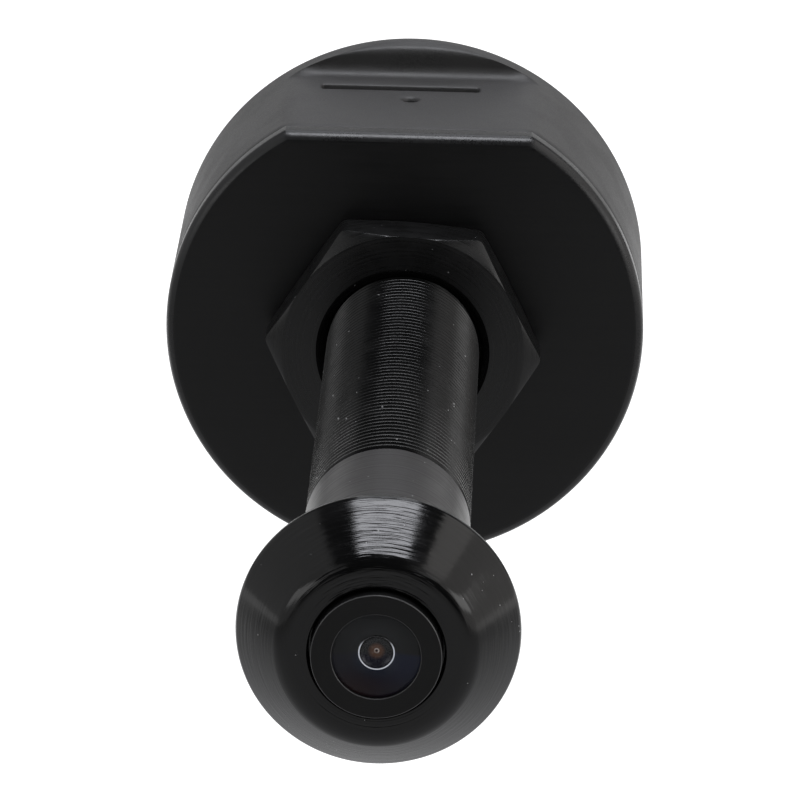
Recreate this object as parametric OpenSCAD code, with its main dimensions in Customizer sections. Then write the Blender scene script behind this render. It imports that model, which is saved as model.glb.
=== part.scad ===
// Electronic door viewer: a camera head on a threaded barrel that passes through a door,
// a hexagon locking nut with its washer, and a round indoor unit that slides onto the barrel's end.
// Origin: on the barrel's axis, in the plane where the head's seal meets the door's outer face.
// +Y runs through the door into the room, +Z is up, +X is to the right for someone standing outside.
// All lengths are in millimetres and all angles in degrees.

/* [Barrel] */

// distance from the door's outer face to the front of the indoor unit, which is the thickest door it fits
reach = 74; // [60:1:90]
// outside diameter of the plain shank that fills the hole in the door
barrel_d = 14; // [13.6:0.1:14.4]
// inside diameter of the barrel, where the camera holder and the ribbon cable run
barrel_bore_d = 10; // [9.9:0.1:10.4]
// distance from the door's outer face to the first turn of the thread
thread_start = 22.35; // [16:0.5:30]
// distance from one thread crest to the next
thread_pitch = 0.85; // [0.75:0.05:1]
// depth of the thread
thread_depth = 0.46; // [0.3:0.02:0.5]

/* [Camera head] */

// largest diameter of the outdoor bezel
bezel_d = 23.1; // [22:0.1:26]
// height of the bezel's front face above the door
bezel_h = 7; // [7:0.1:9]
// diameter of the bezel's front face, where the conical flank begins
bezel_face_d = 15.6; // [14:0.1:17]
// diameter of the ring around the lens
lens_ring_d = 10.54; // [10:0.02:10.8]
// diameter of the front glass
lens_glass_d = 7.14; // [6.6:0.02:7.4]

/* [Locking nut] */

// width across the nut's flats
nut_af = 22; // [20:0.5:24]
// height of the nut
nut_h = 4.8; // [3.5:0.1:4.8]
// turned position the nut was left in, measured from a corner on +X
nut_turn = -3.23; // [-30:0.01:30]

/* [Indoor unit] */

// outside diameter of the indoor unit
unit_d = 44; // [43.6:0.2:48]
// depth of the indoor unit from its front plate to its rear edge
unit_depth = 22.5; // [22.4:0.1:25]
// height of the flat on top of the unit above the barrel's axis
flat_z = 18.92; // [18.6:0.02:19.2]
// distance from the front plate to the step where the flat ends
flat_length = 19.5; // [18:0.1:19.8]
// thickness of the front plate
plate_t = 2.2; // [1.8:0.1:2.4]
// thickness of the housing's wall
wall_t = 1.8; // [1.4:0.1:1.9]

/* [Memory card and reset] */

// length of the slot in the flat
slot_length = 14.6; // [12:0.1:16]
// width of the slot
slot_width = 1.2; // [1.1:0.05:1.4]
// sideways position of the slot's middle
slot_x = -1.1; // [-1.5:0.1:0]
// distance from the front plate to the slot's middle
slot_back = 15.4; // [15.3:0.05:15.5]
// diameter of the reset hole
reset_hole_d = 1.3; // [1.2:0.1:1.8]

/* [Hidden] */

$fn = 96;
eps = 0.01;
br = barrel_d / 2;
bore = barrel_bore_d / 2;
engage = 7.5;
barrel_end = reach + engage;
ur = unit_d / 2;
in_r = ur - wall_t;
in_flat = flat_z - wall_t;
screw_x = ur - 4.6;
rim = 0.9;
seal_t = 0.9;
nut_front = reach - 0.94 - nut_h;
card_y = slot_back;
speaker_z = 11.2;
led_x = 8.2;
reset_x = -0.1;
reset_y = 11.75;

black = [0.05, 0.05, 0.055];
satin = [0.11, 0.11, 0.115];
grey = [0.17, 0.17, 0.175];
metal = [0.62, 0.62, 0.64];
gold = [0.72, 0.58, 0.3];
board = [0.05, 0.2, 0.1];
white = [0.85, 0.85, 0.84];

// turns a radius and height outline about the barrel's axis, with height measured along +Y from y
module turned(y = 0) {
    translate([0, y, 0]) rotate([-90, 0, 0]) rotate_extrude() children();
}

// gives an outline drawn in X and Z a thickness t along +Y, starting at y
module slab(y, t) {
    translate([0, y + t, 0]) rotate([90, 0, 0]) linear_extrude(height = t) children();
}

// round bar along +Y from y0 to y1, on the line x, z
module bar(r, y0, y1, x = 0, z = 0) {
    translate([x, y0, z]) rotate([-90, 0, 0]) cylinder(r = r, h = y1 - y0);
}

// tube along +Y from y0 to y1
module tube(ro, ri, y0, y1, x = 0, z = 0) {
    difference() {
        bar(ro, y0, y1, x, z);
        bar(ri, y0 - 1, y1 + 1, x, z);
    }
}

// block between two corners
module block(a, b) {
    translate(a) cube([b[0] - a[0], b[1] - a[1], b[2] - a[2]]);
}

// outline of the indoor unit: a circle with its top cut off flat
module unit_outline(r, z) {
    intersection() {
        circle(r = r);
        translate([-r - 1, -r - 1]) square([2 * r + 2, r + 1 + z]);
    }
}

// ---------------------------------------------------------------- camera head

// flared outdoor bezel: dished recess for the lens, conical flank, rounded rim, counterbore for the barrel
module outer_bezel() {
    cx = bezel_d / 2 - rim;
    cy = -seal_t - rim;
    px = bezel_face_d / 2;
    py = -bezel_h;
    dx = cx - px;
    dy = cy - py;
    far = sqrt(dx * dx + dy * dy);
    run = sqrt(far * far - rim * rim);
    turn = atan2(dy, dx) - asin(rim / far);
    recess = lens_ring_d / 2 + 0.28;
    color(black) turned() {
        polygon([
            [recess, py], [px, py], [px + run * cos(turn), py + run * sin(turn)], [cx, cy], [cx, -seal_t],
            [6.2, -seal_t], [6.2, -4.4], [4.5, -4.4], [4.5, -5.6], [recess, -5.6]
        ]);
        translate([cx, cy]) circle(r = rim);
    }
}

// soft ring between the bezel and the door
module bezel_seal() {
    color(satin) turned() translate([br + 0.05, -seal_t]) square([10.4 - br - 0.05, seal_t]);
}

// tube with a spigot into the bezel, a plain shank and a fine outside thread up to its inner end
module barrel() {
    turns = floor((barrel_end - 0.7 - thread_start) / thread_pitch);
    crest = br - 0.04;
    root = br - thread_depth;
    p = thread_pitch;
    color(satin) turned() polygon(concat(
        [[bore, -4.4], [6.15, -4.4], [6.15, -seal_t], [6.5, -seal_t], [6.5, 0], [br, 0], [br, thread_start]],
        [for (i = [0:turns - 1]) for (q = [[crest, 0.07], [root, 0.45], [root, 0.5], [crest, 0.93]]) [q[0], thread_start + (i + q[1]) * p]],
        [[crest, barrel_end - 0.6], [root, barrel_end], [bore, barrel_end]]
    ));
}

// lens body: visible ring in front, threaded neck behind, with seats for the glass
module lens_barrel() {
    g = lens_glass_d / 2 + 0.04;
    color(black) turned() polygon([
        [g, -bezel_h - 0.8], [lens_ring_d / 2 - 0.25, -bezel_h - 0.8], [lens_ring_d / 2, -bezel_h - 0.55], [lens_ring_d / 2, -6.2],
        [4.35, -6.2], [4.35, 0.1], [2.65, 0.1], [2.65, -3.8], [1.9, -3.8], [1.9, -4.1], [2.4, -4.1], [2.4, -5.93], [g, -5.93]
    ]);
}

// bulging front glass, hollow behind
module front_lens() {
    g = lens_glass_d / 2;
    big = 20;
    sag = big - sqrt(big * big - g * g);
    rim_y = -bezel_h - 0.46;
    color([0.1, 0.1, 0.16]) difference() {
        intersection() {
            bar(g, -bezel_h - 2, -5.95);
            translate([0, rim_y - sag + big, 0]) sphere(r = big, $fn = 200);
        }
        translate([0, -5.6, 0]) sphere(r = 1.5);
    }
}

// small hollow glass behind the front glass
module second_lens() {
    color([0.1, 0.12, 0.2]) difference() {
        bar(2.35, -5.2, -4.15);
        translate([0, -6.6, 0]) sphere(r = 2);
    }
}

// thin washer with the light opening
module aperture_stop() {
    color(black) tube(2.6, 0.8, -3.78, -3.6);
}

// thick glass rounded on both sides
module rear_lens() {
    color([0.1, 0.12, 0.2]) turned() intersection() {
        translate([0, -3.5]) square([2.6, 1.6]);
        translate([0, 2.8]) circle(r = 6.25);
        translate([0, -8.2]) circle(r = 6.25);
    }
}

// ring that keeps the glass in the lens body
module lens_retainer() {
    color(black) tube(2.6, 1.9, -1.8, -1.2);
}

// rubber ring that keeps rain out between the lens and the bezel
module lens_seal() {
    color(black) turned() translate([4.95, -5.9]) circle(r = 0.28, $fn = 32);
}

// plastic holder in the barrel: takes the lens in front and covers the sensor behind
module lens_holder() {
    color(satin) difference() {
        bar(bore - 0.1, -3.9, 2.8);
        bar(4.38, -5, 0.6);
        bar(3.3, 0, 2);
        block([-3.2, 1.2, -3.2], [3.2, 4, 3.2]);
    }
}

// thin square filter glass in front of the sensor
module ir_filter() {
    color([0.5, 0.25, 0.3]) block([-3, 0.28, -3], [3, 0.56, 3]);
}

// image sensor chip
module image_sensor() {
    color(satin) block([-2.8, 1.6, -2.8], [2.8, 2.78, 2.8]);
}

// round board that carries the sensor
module camera_board() {
    color(board) bar(bore - 0.2, 2.8, 3.6);
}

// connector on the back of the camera board
module camera_connector() {
    color(white) block([-3.2, 3.6, -1.2], [3.2, 4.7, 1.2]);
}

// flat cable from the camera board through the barrel
module ribbon_cable() {
    color([0.6, 0.4, 0.12]) block([-3, 4.7, -0.15], [3, reach + 4.5, 0.15]);
}

// plug on the indoor end of the flat cable
module ribbon_plug() {
    color(white) block([-3.4, reach + 4.5, -0.8], [3.4, reach + 11.4, 0.8]);
}

// ---------------------------------------------------------------- locking nut

// plain ring between the nut and whatever it is tightened against
module clamp_washer() {
    color(satin) tube(10.3, br + 0.25, reach - 0.88, reach - 0.13);
}

// chamfered hexagon nut
module lock_nut() {
    inside = nut_af / 2 + 0.05;
    y0 = nut_front;
    y1 = nut_front + nut_h;
    color(black) difference() {
        intersection() {
            slab(y0, nut_h) rotate(nut_turn) circle(r = nut_af / sqrt(3), $fn = 6);
            turned() polygon([[0, y0], [inside, y0], [inside + 3, y0 + 1.6], [inside + 3, y1 - 1.6], [inside, y1], [0, y1]]);
        }
        bar(br + 0.05, y0 - 1, y1 + 1);
        turned() polygon([[0, y0 - 1], [br + 1.88, y0 - 1], [br + 0.05, y0 + 0.85], [0, y0 + 0.85]]);
        turned() polygon([[0, y1 + 1], [br + 1.6, y1 + 1], [br + 0.05, y1 - 0.6], [0, y1 - 0.6]]);
    }
}

// ---------------------------------------------------------------- indoor unit, measured from its front plate

// front plate with a rounded edge, the hole for the barrel and two screw bosses behind
module mounting_plate() {
    c = 1;
    color(black) translate([0, reach, 0]) difference() {
        union() {
            intersection() {
                turned() {
                    square([ur - c, plate_t]);
                    translate([0, c]) square([ur, plate_t - c]);
                    translate([ur - c, c]) circle(r = c, $fn = 64);
                }
                translate([-ur - 1, 0, 0]) rotate([90, 0, 90]) linear_extrude(height = 2 * ur + 2) {
                    translate([0, -ur - 1]) square([plate_t, ur + 1 + flat_z - c]);
                    translate([c, -ur - 1]) square([plate_t - c, ur + 1 + flat_z]);
                    translate([c, flat_z - c]) circle(r = c, $fn = 64);
                }
            }
            for (s = [-1, 1]) bar(2.6, 1, 4.6, s * screw_x);
        }
        bar(br + 0.06, -1, 10);
        for (s = [-1, 1]) bar(1, 1.2, 10, s * screw_x);
    }
}

// flanged metal sleeve that slides over the barrel's end, with a cross hole for the grub screw
module barrel_socket() {
    color(metal) translate([0, reach, 0]) difference() {
        union() {
            bar(9.4, plate_t, 8.2);
            bar(11.4, plate_t, plate_t + 1.2);
        }
        bar(br + 0.06, 0, 10);
        translate([0, 6, -12]) cylinder(r = 1.25, h = 10, $fn = 32);
    }
}

// grub screw that locks the sleeve on the barrel, turned from below
module grub_screw() {
    color(metal) translate([0, reach + 6, 0]) difference() {
        translate([0, 0, -9.3]) cylinder(r = 1.2, h = 9.3 - br - 0.3, $fn = 32);
        translate([0, 0, -9.4]) cylinder(r = 0.72, h = 1, $fn = 6);
    }
}

// cup-shaped housing with the flat, its step, the card slot, the reset hole, the screw posts and the rear ledge
module main_housing() {
    f = 1.1;
    e = 1;
    color(grey) translate([0, reach, 0]) difference() {
        union() {
            difference() {
                turned() {
                    translate([0, plate_t + 0.06]) square([ur, unit_depth - plate_t - 0.06 - e]);
                    translate([0, plate_t + 0.06]) square([ur - e, unit_depth - plate_t - 0.06]);
                    translate([ur - e, unit_depth - e]) circle(r = e, $fn = 64);
                }
                bar(19.8, 20.9, 30);
                bar(18.6, 19, 30);
                slab(0, 19.4) unit_outline(in_r, in_flat);
                // the flat, with a rounded inside corner where it ends
                translate([-ur, 0, 0]) rotate([90, 0, 90]) linear_extrude(height = 2 * ur) {
                    translate([-1, flat_z]) square([flat_length - f + 1, ur]);
                    translate([-1, flat_z + f]) square([flat_length + 1, ur]);
                    translate([flat_length - f, flat_z + f]) circle(r = f, $fn = 64);
                }
            }
            for (s = [-1, 1]) intersection() {
                bar(2.9, 4.7, 20.9, s * screw_x);
                bar(ur - 0.5, 0, 30);
            }
        }
        for (s = [-1, 1]) bar(1.15, 0, 30, s * screw_x);
        // card slot and reset hole in the flat
        block([slot_x - slot_length / 2, card_y - slot_width / 2, in_flat - 1], [slot_x + slot_length / 2, card_y + slot_width / 2, ur]);
        translate([reset_x, reset_y, in_flat - 1]) cylinder(r = reset_hole_d / 2, h = 4, $fn = 32);
        // underneath: grub screw access, charging socket and microphone
        translate([0, 6, -ur - 1]) cylinder(r = 1.6, h = 4, $fn = 32);
        translate([0, 11.1, -ur - 1]) linear_extrude(height = 4) {
            square([6, 3.6], center = true);
            for (s = [-1, 1]) translate([s * 2.9, 0]) circle(r = 1.8, $fn = 48);
        }
        translate([8, 12.3, -ur - 1]) cylinder(r = 0.5, h = 6, $fn = 24);
    }
}

// round rear cover with the push button's hole, the speaker's holes, the light's hole and two screw seats
module rear_cover() {
    color(satin) translate([0, reach, 0]) difference() {
        turned() polygon([[0, 20.95], [19.6, 20.95], [19.6, 22.1], [19.3, 22.4], [0, 22.4]]);
        bar(4.9, 20, 24);
        for (s = [-1, 1]) {
            bar(1.15, 20, 24, s * screw_x);
            bar(1.95, 21.55, 24, s * screw_x);
        }
        bar(0.96, 20, 24, led_x);
        bar(0.5, 20, 24, 0, speaker_z);
        for (a = [0:60:300]) bar(0.5, 20, 24, 1.8 * cos(a), speaker_z + 1.8 * sin(a));
        for (a = [0:30:330]) bar(0.5, 20, 24, 3.6 * cos(a), speaker_z + 3.6 * sin(a));
    }
}

// two long screws that hold the cover, the housing and the front plate together
module cover_screws() {
    color(metal) translate([0, reach, 0]) for (s = [-1, 1]) difference() {
        union() {
            bar(0.95, 1.6, 21.8, s * screw_x);
            bar(1.85, 21.57, 22.35, s * screw_x);
        }
        for (a = [0, 90]) translate([s * screw_x, 22.2, 0]) rotate([0, a, 0]) cube([2.2, 0.9, 0.4], center = true);
    }
}

// main board with its top edge cut flat and room for the screw posts
module main_board() {
    color(board) translate([0, reach, 0]) difference() {
        slab(12.9, 1.2) unit_outline(in_r - 0.8, in_flat - 0.5);
        for (s = [-1, 1]) bar(3.3, 10, 16, s * screw_x);
    }
}

// socket on the main board that takes the flat cable's plug
module ribbon_socket() {
    color(white) translate([0, reach, 0]) difference() {
        block([-4.3, 8.6, -1.6], [4.3, 12.9, 1.6]);
        block([-3.46, 8, -0.86], [3.46, 11.7, 0.86]);
    }
}

// metal can over the processor
module processor_can() {
    color(metal) translate([0, reach, 0]) difference() {
        block([-6.5, 11.2, -11.6], [6.5, 12.9, -2.4]);
        block([-6.2, 11.5, -11.3], [6.2, 13.2, -2.7]);
    }
}

// radio module
module wifi_module() {
    color(metal) translate([0, reach, 0]) {
        block([-14, 12.1, 3.4], [-6.4, 12.9, 11.6]);
        block([-13.5, 11.2, 3.9], [-6.9, 12.2, 9.4]);
    }
}

// small block antenna
module antenna() {
    color(white) translate([0, reach, 0]) block([6.6, 11.7, 8.4], [13.6, 12.9, 10.4]);
}

// socket that the memory card slides into from above
module card_socket() {
    color(metal) translate([0, reach, 0]) difference() {
        block([slot_x - 7, 14.1, 1.9], [slot_x + 7, 16.3, 14]);
        block([slot_x - 5.6, card_y - 0.45, 2.9], [slot_x + 5.6, card_y + 0.45, 15]);
    }
}

// memory card with its stepped side and a finger ridge along its top edge
module memory_card() {
    color(black) translate([slot_x, reach, 0]) {
        slab(card_y - 0.35, 0.7) polygon([
            [-5.5, 3.9], [-4.8, 3.2], [4.1, 3.2], [4.1, 9.2], [4.9, 9.9], [4.9, 11], [4.3, 11.6], [4.3, 12.8], [5.5, 14], [5.5, 18.2], [-5.5, 18.2]
        ]);
        block([-5.5, card_y, 17.2], [5.5, card_y + 0.48, 18.2]);
    }
}

// reset switch on the main board's top edge, open upwards
module reset_switch() {
    color(satin) translate([reset_x, reach, 0]) difference() {
        block([-1.9, 10.6, 13], [1.9, 12.9, 15.4]);
        translate([0, reset_y, 14.2]) cylinder(r = 0.6, h = 3, $fn = 32);
    }
}

// plunger of the reset switch, under the hole in the flat
module reset_plunger() {
    color(white) translate([reset_x, reach + reset_y, 14.6]) cylinder(r = 0.5, h = 2, $fn = 32);
}

// switch on the back of the main board, behind the push button
module power_switch() {
    color(satin) translate([0, reach, 0]) {
        block([-2.2, 14.1, -1.7], [2.2, 16.9, 1.7]);
        bar(1.2, 16.8, 17.6);
    }
}

// push button in the rear cover, with a retaining flange and a post towards its switch
module power_button() {
    color(black) translate([0, reach, 0]) turned() polygon([
        [0, 18.6], [1.6, 18.6], [1.6, 19.8], [5.3, 19.8], [5.3, 20.6], [4.6, 20.6], [4.6, 22.9], [4.3, 23.2], [0, 23.2]
    ]);
}

// indicator light on the main board
module status_led() {
    color(white) translate([0, reach, 0]) block([led_x - 0.8, 14.1, -0.4], [led_x + 0.8, 14.8, 0.4]);
}

// clear rod that leads the light to the rear cover
module status_light_guide() {
    color([0.7, 0.85, 0.9]) translate([0, reach, 0]) {
        bar(0.9, 15, 22.35, led_x);
        bar(1.5, 19.9, 20.9, led_x);
    }
}

// small round loudspeaker
module speaker() {
    color(satin) translate([0, reach, 0]) difference() {
        union() {
            bar(5.4, 17.6, 19.6, 0, speaker_z);
            bar(4.2, 16.6, 17.7, 0, speaker_z);
        }
        bar(4.6, 19.2, 20, 0, speaker_z);
    }
}

// foam ring between the loudspeaker and the cover
module speaker_gasket() {
    color(satin) translate([0, reach, 0]) tube(5.3, 4.5, 19.6, 20.9, 0, speaker_z);
}

// microphone near the hole under the unit
module microphone() {
    color(metal) translate([0, reach, 0]) block([6.7, 11.8, -17], [9.3, 12.9, -14]);
}

// charging socket that opens downwards, with its contact tongue
module usb_socket() {
    color(metal) translate([0, reach + 11.1, 0]) {
        difference() {
            translate([0, 0, -20.6]) linear_extrude(height = 7.4) {
                square([5.7, 3.2], center = true);
                for (s = [-1, 1]) translate([s * 2.85, 0]) circle(r = 1.6, $fn = 48);
            }
            translate([0, 0, -21]) linear_extrude(height = 7) {
                square([5.7, 2.6], center = true);
                for (s = [-1, 1]) translate([s * 2.85, 0]) circle(r = 1.3, $fn = 48);
            }
        }
        translate([-3.2, -0.35, -19.8]) cube([6.4, 0.7, 6.2]);
    }
}

// flat rechargeable cell
module battery() {
    color([0.7, 0.72, 0.76]) translate([0, reach, 0]) block([-11, 14.7, -15.6], [11, 19.2, -6.8]);
}

// foam pad between the cell and the board
module battery_foam() {
    color(satin) translate([0, reach, 0]) block([-10, 14.1, -15], [10, 14.7, -7.4]);
}

// two short wires from the cell to its connector
module battery_leads() {
    color([0.6, 0.08, 0.06]) translate([0, reach + 17, 0]) for (z = [-9, -10.4]) {
        translate([11, 0, z]) rotate([0, 90, 0]) cylinder(r = 0.4, h = 1.6, $fn = 24);
        translate([12.6, 0, z]) sphere(r = 0.4, $fn = 24);
        translate([12.6, -1.4, z]) rotate([-90, 0, 0]) cylinder(r = 0.4, h = 1.4, $fn = 24);
    }
}

// connector for the cell's wires
module battery_connector() {
    color(white) translate([0, reach, 0]) block([11.5, 14.1, -11.6], [13.7, 15.6, -7.8]);
}

outer_bezel();
bezel_seal();
barrel();
lens_barrel();
front_lens();
second_lens();
aperture_stop();
rear_lens();
lens_retainer();
lens_seal();
lens_holder();
ir_filter();
image_sensor();
camera_board();
camera_connector();
ribbon_cable();
ribbon_plug();
clamp_washer();
lock_nut();
mounting_plate();
barrel_socket();
grub_screw();
main_housing();
rear_cover();
cover_screws();
main_board();
ribbon_socket();
processor_can();
wifi_module();
antenna();
card_socket();
memory_card();
reset_switch();
reset_plunger();
power_switch();
power_button();
status_led();
status_light_guide();
speaker();
speaker_gasket();
microphone();
usb_socket();
battery();
battery_foam();
battery_leads();
battery_connector();
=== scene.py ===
import math

import bmesh
import bpy
from mathutils import Matrix, Vector


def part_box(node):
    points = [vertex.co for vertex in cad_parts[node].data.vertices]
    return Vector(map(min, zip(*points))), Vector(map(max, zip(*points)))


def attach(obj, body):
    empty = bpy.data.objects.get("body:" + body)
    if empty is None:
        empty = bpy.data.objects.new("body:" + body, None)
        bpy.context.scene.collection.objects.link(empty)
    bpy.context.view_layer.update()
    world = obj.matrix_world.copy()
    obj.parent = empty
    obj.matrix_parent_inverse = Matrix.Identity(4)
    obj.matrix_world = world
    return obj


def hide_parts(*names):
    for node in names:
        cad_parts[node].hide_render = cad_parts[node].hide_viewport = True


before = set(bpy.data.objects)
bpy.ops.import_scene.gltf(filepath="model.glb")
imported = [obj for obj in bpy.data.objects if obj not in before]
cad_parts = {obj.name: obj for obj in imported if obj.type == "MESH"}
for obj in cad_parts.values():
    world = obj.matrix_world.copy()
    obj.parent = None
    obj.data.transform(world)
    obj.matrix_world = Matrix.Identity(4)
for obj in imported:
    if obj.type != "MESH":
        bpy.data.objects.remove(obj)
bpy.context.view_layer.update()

MM = 0.001
PI = math.pi
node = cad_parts
scene = bpy.context.scene


def mm(name):
    """Lowest and highest corner of a CAD node, in millimetres."""
    lo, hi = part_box(name)
    return lo * 1000, hi * 1000


# ------------------------------------------------------------------ anchors from the CAD boxes, then the thread and nut numbers given directly
PLATE_Y = mm("mounting_plate")[0].y
UNIT_R = mm("main_housing")[1].x
PLATE_R = UNIT_R
FLAT_Z = mm("mounting_plate")[1].z
REAR_Y = mm("main_housing")[1].y
SEAM_Y = mm("main_housing")[0].y
BEZEL_R = mm("outer_bezel")[1].x
BEZEL_Y = mm("outer_bezel")[0].y
LENS_R = mm("lens_barrel")[1].x
LENS_Y = mm("lens_barrel")[0].y
GLASS_R = mm("front_lens")[1].x
GLASS_Y = mm("front_lens")[0].y
BARREL_R = mm("barrel")[1].x
BARREL_END = mm("barrel")[1].y
NUT_Y0, NUT_Y1 = mm("lock_nut")[0].y, mm("lock_nut")[1].y
COVER_Y0, COVER_Y1 = mm("rear_cover")[0].y, mm("rear_cover")[1].y
COVER_R = mm("rear_cover")[1].x
BUTTON_Y0, BUTTON_Y1 = mm("power_button")[0].y, mm("power_button")[1].y
THREAD_Y = 22.35
PITCH = 0.85
DEPTH = 0.44
NUT_TURN = math.radians(-3.23)


# ------------------------------------------------------------------ materials
class Mat:
    """Small builder for a procedural material. Lengths inside it are in millimetres of the row frame."""

    def __init__(self, name, color=(0.05, 0.05, 0.05), rough=0.5, metallic=0.0, specular=0.5, coat=0.0, coat_rough=0.1):
        self.m = bpy.data.materials.new(name)
        self.m.use_nodes = True
        self.t = self.m.node_tree
        self.b = self.t.nodes["Principled BSDF"]
        self.b.inputs["Base Color"].default_value = (*color, 1)
        self.b.inputs["Roughness"].default_value = rough
        self.b.inputs["Metallic"].default_value = metallic
        self.b.inputs["Specular IOR Level"].default_value = specular
        self.b.inputs["Coat Weight"].default_value = coat
        self.b.inputs["Coat Roughness"].default_value = coat_rough
        self.color, self.rough = color, rough
        tc = self.t.nodes.new("ShaderNodeTexCoord")
        s = self.t.nodes.new("ShaderNodeVectorMath")
        s.operation = "SCALE"
        s.inputs["Scale"].default_value = 1000
        self.t.links.new(tc.outputs["Object"], s.inputs[0])
        self.p = s.outputs[0]
        sep = self.t.nodes.new("ShaderNodeSeparateXYZ")
        self.t.links.new(self.p, sep.inputs[0])
        self.x, self.y, self.z = sep.outputs
        self.bumps = []

    def put(self, socket, value):
        if hasattr(value, "is_output"):
            self.t.links.new(value, socket)
        else:
            socket.default_value = value

    def math(self, op, a, b=0.0, clamp=False):
        n = self.t.nodes.new("ShaderNodeMath")
        n.operation, n.use_clamp = op, clamp
        self.put(n.inputs[0], a)
        self.put(n.inputs[1], b)
        return n.outputs[0]

    def radius(self, x0=0.0, z0=0.0):
        """Distance from the line x0, z0 along Y."""
        x = self.math("SUBTRACT", self.x, x0) if x0 else self.x
        z = self.math("SUBTRACT", self.z, z0) if z0 else self.z
        return self.math("SQRT", self.math("ADD", self.math("MULTIPLY", x, x), self.math("MULTIPLY", z, z)))

    def stretch(self, sx, sy, sz):
        n = self.t.nodes.new("ShaderNodeVectorMath")
        n.operation = "MULTIPLY"
        self.t.links.new(self.p, n.inputs[0])
        n.inputs[1].default_value = (sx, sy, sz)
        return n.outputs[0]

    def noise(self, scale, detail=2.0, rough=0.5, vector=None):
        n = self.t.nodes.new("ShaderNodeTexNoise")
        n.inputs["Scale"].default_value = scale
        n.inputs["Detail"].default_value = detail
        n.inputs["Roughness"].default_value = rough
        self.t.links.new(vector if vector is not None else self.p, n.inputs["Vector"])
        return n.outputs["Fac"]

    def noise1(self, w, scale, detail=2.0, rough=0.5):
        n = self.t.nodes.new("ShaderNodeTexNoise")
        n.noise_dimensions = "1D"
        n.inputs["Scale"].default_value = scale
        n.inputs["Detail"].default_value = detail
        n.inputs["Roughness"].default_value = rough
        self.t.links.new(w, n.inputs["W"])
        return n.outputs["Fac"]

    def ramp(self, value, lo, hi, out_lo=0.0, out_hi=1.0):
        n = self.t.nodes.new("ShaderNodeMapRange")
        n.interpolation_type = "SMOOTHSTEP"
        self.put(n.inputs["Value"], value)
        n.inputs["From Min"].default_value = lo
        n.inputs["From Max"].default_value = hi
        n.inputs["To Min"].default_value = out_lo
        n.inputs["To Max"].default_value = out_hi
        return n.outputs["Result"]

    def mix(self, fac, a, b):
        n = self.t.nodes.new("ShaderNodeMix")
        n.data_type = "RGBA"
        self.put(n.inputs["Factor"], fac)
        for socket, v in ((n.inputs[6], a), (n.inputs[7], b)):
            self.put(socket, v if hasattr(v, "is_output") else (*v, 1))
        return n.outputs[2]

    def dust(self, scale=0.75, size=0.055, share=0.9, seed=0.0):
        """Sparse pale specks."""
        n = self.t.nodes.new("ShaderNodeTexVoronoi")
        n.inputs["Scale"].default_value = scale
        shift = self.t.nodes.new("ShaderNodeVectorMath")
        shift.operation = "ADD"
        self.t.links.new(self.p, shift.inputs[0])
        shift.inputs[1].default_value = (seed, seed * 1.7, seed * 0.3)
        self.t.links.new(shift.outputs[0], n.inputs["Vector"])
        sep = self.t.nodes.new("ShaderNodeSeparateColor")
        self.t.links.new(n.outputs["Color"], sep.inputs[0])
        chosen = self.math("GREATER_THAN", sep.outputs[0], share)
        big = self.math("MULTIPLY", sep.outputs[1], size)
        near = self.math("LESS_THAN", n.outputs["Distance"], big)
        return self.math("MULTIPLY", chosen, near)

    def base(self, value):
        self.t.links.new(value, self.b.inputs["Base Color"])

    def roughness(self, value):
        self.t.links.new(value, self.b.inputs["Roughness"])

    def bump(self, height, distance_mm, strength=1.0):
        n = self.t.nodes.new("ShaderNodeBump")
        n.inputs["Strength"].default_value = strength
        n.inputs["Distance"].default_value = distance_mm * MM
        self.t.links.new(height, n.inputs["Height"])
        if self.bumps:
            self.t.links.new(self.bumps[-1], n.inputs["Normal"])
        self.bumps.append(n.outputs["Normal"])
        self.t.links.new(self.bumps[-1], self.b.inputs["Normal"])


def scaled(color, k):
    return tuple(min(1.0, c * k) for c in color)


def turned_black(name, color, rough, ring_scale, ring_height, dust=True, seed=0.0, grain=0.0, spec=0.5, dust_share=0.8):
    """Anodised turned metal: fine rings round the barrel's axis."""
    m = Mat(name, color, rough, specular=spec)
    along = m.math("ADD", m.radius(), m.math("MULTIPLY", m.y, 0.61))
    rings = m.noise1(along, ring_scale, 3.0, 0.55)
    broad = m.noise1(along, ring_scale * 0.23, 1.0, 0.5)
    patch = m.noise(0.35, 3.0, 0.6)
    m.roughness(m.math("ADD", m.ramp(rings, 0.3, 0.7, rough * 0.8, rough * 1.15), m.ramp(patch, 0.35, 0.7, -0.02, 0.05)))
    col = m.mix(m.ramp(patch, 0.3, 0.7), scaled(color, 0.85), scaled(color, 1.2))
    if dust:
        col = m.mix(m.dust(1.3, 0.11, dust_share, seed), col, (0.3, 0.3, 0.3))
    m.base(col)
    m.bump(rings, ring_height)
    m.bump(broad, ring_height * 1.6)
    if grain:
        m.bump(m.noise(9.0, 2.0, 0.6), grain)
    return m.m


def moulded(name, color, rough, grain_scale=6.5, grain_height=0.012, dust=False, seed=0.0, spec=0.5):
    """Moulded plastic with a fine eroded texture."""
    m = Mat(name, color, rough, specular=spec)
    grain = m.noise(grain_scale, 3.0, 0.65)
    cloud = m.noise(0.22, 3.0, 0.55)
    m.roughness(m.math("ADD", m.ramp(grain, 0.35, 0.65, rough - 0.05, rough + 0.05), m.ramp(cloud, 0.35, 0.65, -0.03, 0.03)))
    col = m.mix(m.ramp(grain, 0.38, 0.66), scaled(color, 0.8), scaled(color, 1.25))
    col = m.mix(m.ramp(cloud, 0.3, 0.7), col, scaled(color, 1.12))
    if dust:
        col = m.mix(m.dust(0.5, 0.06, 0.9, seed), col, (0.4, 0.4, 0.4))
    m.base(col)
    m.bump(grain, grain_height)
    return m.m


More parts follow.
